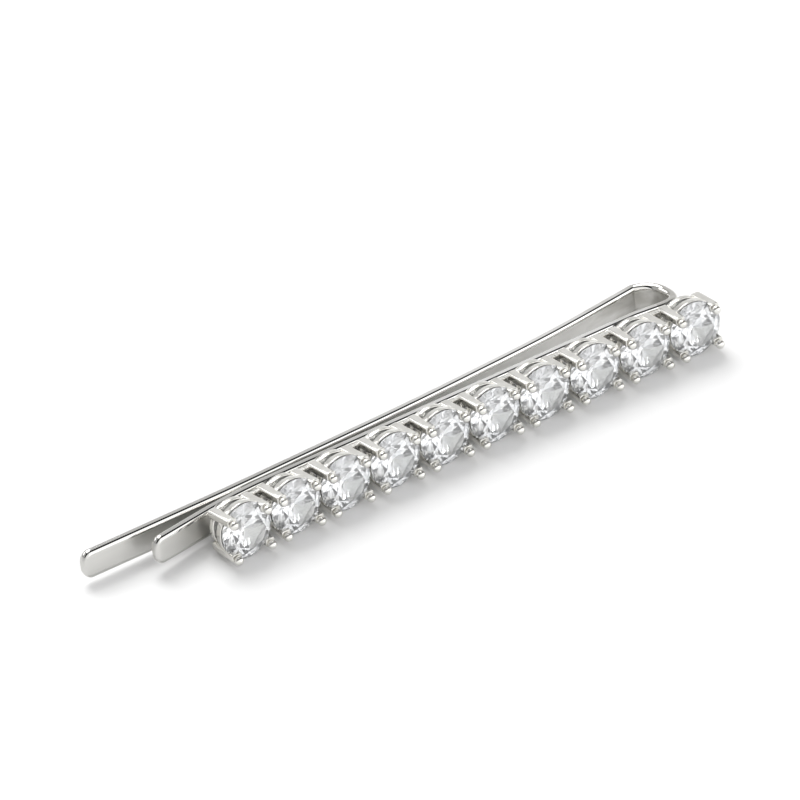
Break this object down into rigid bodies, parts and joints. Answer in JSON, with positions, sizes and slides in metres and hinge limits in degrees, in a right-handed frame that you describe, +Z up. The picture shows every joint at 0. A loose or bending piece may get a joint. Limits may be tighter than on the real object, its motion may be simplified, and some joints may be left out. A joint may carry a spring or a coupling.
{
  "type": "hair clip",
  "caption": "Sprung flat-wire hair clip with a straight row of claw-set round clear stones along its front leg.",
  "frame": {"origin": "middle of the footprint, on the table that the clip lies on", "axes": "+X along the pin from its open tips to its loop, +Y from the stones towards the back leg, +Z up, across the strip's width; the clip leans back about X, resting on its settings and its loop"},
  "size_m": [0.0616, 0.01, 0.0051],
  "materials": {
    "plated_strip": "polished silver-coloured plating over spring steel",
    "plated_setting": "polished silver-coloured plating over cast claw settings",
    "clear_stone": "facet-cut clear stone"
  },
  "bodies": {
    "front": {"front_leg": "plated_strip", "spring_bend": "plated_strip", "setting_01": "plated_setting", "setting_02": "plated_setting", "setting_03": "plated_setting", "setting_04": "plated_setting", "setting_05": "plated_setting", "setting_06": "plated_setting", "setting_07": "plated_setting", "setting_08": "plated_setting", "setting_09": "plated_setting", "setting_10": "plated_setting", "stone_01": "clear_stone", "stone_02": "clear_stone", "stone_03": "clear_stone", "stone_04": "clear_stone", "stone_05": "clear_stone", "stone_06": "clear_stone", "stone_07": "clear_stone", "stone_08": "clear_stone", "stone_09": "clear_stone", "stone_10": "clear_stone"},
    "back": {"back_leg": "plated_strip"}
  },
  "joints": [
    {"name": "leg_spread", "type": "hinge", "parent": "front", "child": "back", "pos_m": [0.02792, 0.00236, 0.00163], "axis": [0, -0.1655, -0.9862], "range_deg": [0, 10], "stiffness_Nm_per_rad": 0.2, "springref_deg": -2.86, "deforming": ["spring_bend"]}
  ]
}
